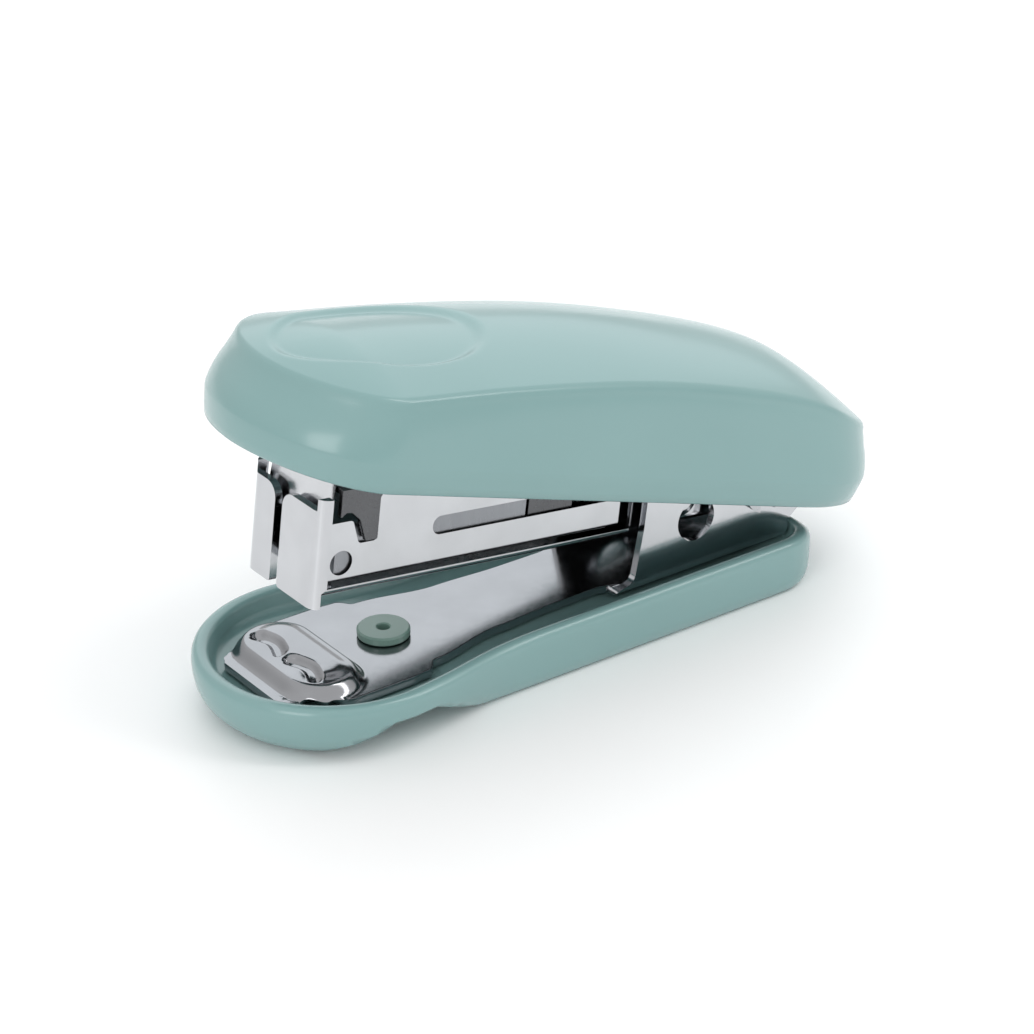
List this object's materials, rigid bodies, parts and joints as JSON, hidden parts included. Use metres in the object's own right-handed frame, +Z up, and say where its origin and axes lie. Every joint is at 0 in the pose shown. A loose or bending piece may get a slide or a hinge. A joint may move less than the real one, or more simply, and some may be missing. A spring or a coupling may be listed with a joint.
{
  "type": "stapler",
  "caption": "Mini office stapler with a plastic tray base, a plated magazine and clinching anvil, and a rounded plastic handle, standing sprung open on its base.",
  "frame": {"origin": "centre of the bounding box's bottom face, on the table the feet stand on", "axes": "+Z up, -Y towards the jaw, +Y towards the hinge, +X to the right seen from behind the hinge"},
  "size_m": [0.0234, 0.0648, 0.0328],
  "materials": {
    "mint_plastic": "moulded, glossy",
    "plated_steel": "bright plated sheet",
    "spring_steel": "drawn wire and strip",
    "staple_wire": "glued staple wire"
  },
  "bodies": {
    "base": {"base_cover": "mint_plastic", "base_plate": "plated_steel", "base_rivet": "mint_plastic", "pivot_pin": "plated_steel", "pin_clip": "spring_steel", "magazine_spring": "spring_steel"},
    "magazine": {"magazine": "plated_steel", "staple_rail": "plated_steel", "driver_guide": "plated_steel", "staple_strip": "staple_wire", "rail_rivet": "plated_steel", "guide_rod": "spring_steel", "spring_bracket": "plated_steel", "pusher_spring": "spring_steel"},
    "pusher": {"pusher": "plated_steel"},
    "handle": {"handle_cover": "mint_plastic", "handle_frame": "plated_steel", "driver_blade": "plated_steel", "handle_spring": "spring_steel", "blade_rivet": "plated_steel", "spring_rivet": "plated_steel"}
  },
  "joints": [
    {"name": "magazine_hinge", "type": "hinge", "parent": "base", "child": "magazine", "pos_m": [0, 0.02019, 0.0096], "axis": [1, 0, 0], "range_deg": [0, 7.6], "stiffness_Nm_per_rad": 0.05, "springref_deg": -20.05, "deforming": ["magazine_spring"]},
    {"name": "handle_hinge", "type": "hinge", "parent": "magazine", "child": "handle", "pos_m": [0, 0.02019, 0.0096], "axis": [1, 0, 0], "range_deg": [-30, 7.2], "stiffness_Nm_per_rad": 0.3, "springref_deg": -0.29, "deforming": ["handle_spring"]},
    {"name": "pusher_slide", "type": "slide", "parent": "magazine", "child": "pusher", "axis": [0, 0.9918, -0.1281], "range_m": [0, 0.005], "stiffness_N_per_m": 40, "springref_m": -0.012, "deforming": ["pusher_spring"]}
  ]
}
